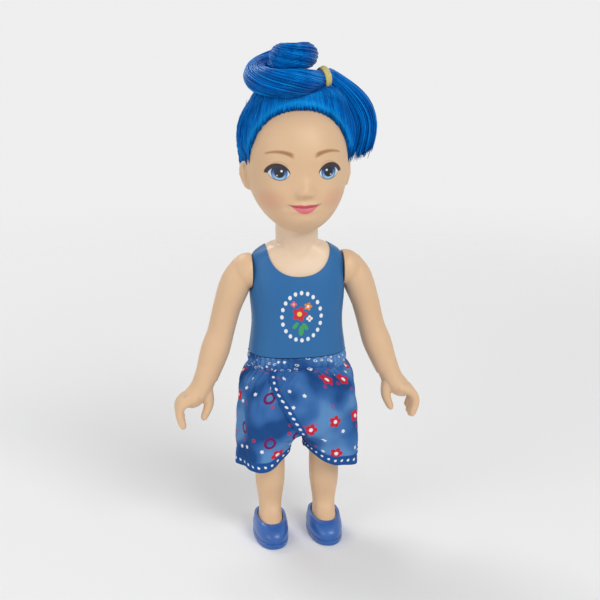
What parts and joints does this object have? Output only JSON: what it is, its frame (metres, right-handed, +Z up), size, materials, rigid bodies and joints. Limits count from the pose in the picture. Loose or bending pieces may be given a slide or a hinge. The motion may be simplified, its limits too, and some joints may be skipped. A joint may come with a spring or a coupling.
{
  "type": "miniature doll",
  "caption": "Standing miniature doll with a turning head, tied-up blue hair, swinging arms and legs, a moulded blue top, loose cloth shorts and slip-on shoes.",
  "frame": {"origin": "on the ground under the middle of the doll", "axes": "+Z up, -Y the way the doll faces, +X towards the doll's left hand"},
  "size_m": [0.0756, 0.0363, 0.1538],
  "materials": {
    "skin": "soft vinyl, satin",
    "neck": "hard plastic, glossy",
    "hair": "fine synthetic hair, silky",
    "elastic": "matte",
    "moulded_top": "satin with a printed picture",
    "cloth": "thin printed knit",
    "shoe": "soft plastic, half gloss"
  },
  "bodies": {
    "torso": {"torso_front": "moulded_top", "torso_back": "moulded_top", "neck_insert": "neck", "waistband": "cloth", "shorts_left": "cloth", "shorts_right": "cloth"},
    "head": {"head_shell": "skin", "hair_cap": "hair", "hair_bun": "hair", "hair_tail": "hair", "hair_elastic": "elastic"},
    "arm_left": {"arm_left": "skin"},
    "arm_right": {"arm_right": "skin"},
    "leg_left": {"leg_left": "skin", "shoe_left": "shoe"},
    "leg_right": {"leg_right": "skin", "shoe_right": "shoe"}
  },
  "joints": [
    {"name": "neck_swivel", "type": "hinge", "parent": "torso", "child": "head", "pos_m": [0, 0, 0.1003], "axis": [0, 0, 1], "continuous": true},
    {"name": "shoulder_left", "type": "hinge", "parent": "torso", "child": "arm_left", "pos_m": [0.0139, 0, 0.087], "axis": [-1, 0, 0], "continuous": true},
    {"name": "shoulder_right", "type": "hinge", "parent": "torso", "child": "arm_right", "pos_m": [-0.0139, 0, 0.087], "axis": [-1, 0, 0], "continuous": true},
    {"name": "hip_left", "type": "hinge", "parent": "torso", "child": "leg_left", "pos_m": [0.0065, 0, 0.049], "axis": [-1, 0, 0], "range_deg": [-25, 90], "deforming": ["shorts_left"]},
    {"name": "hip_right", "type": "hinge", "parent": "torso", "child": "leg_right", "pos_m": [-0.0065, 0, 0.049], "axis": [-1, 0, 0], "range_deg": [-25, 90], "deforming": ["shorts_right"]}
  ]
}
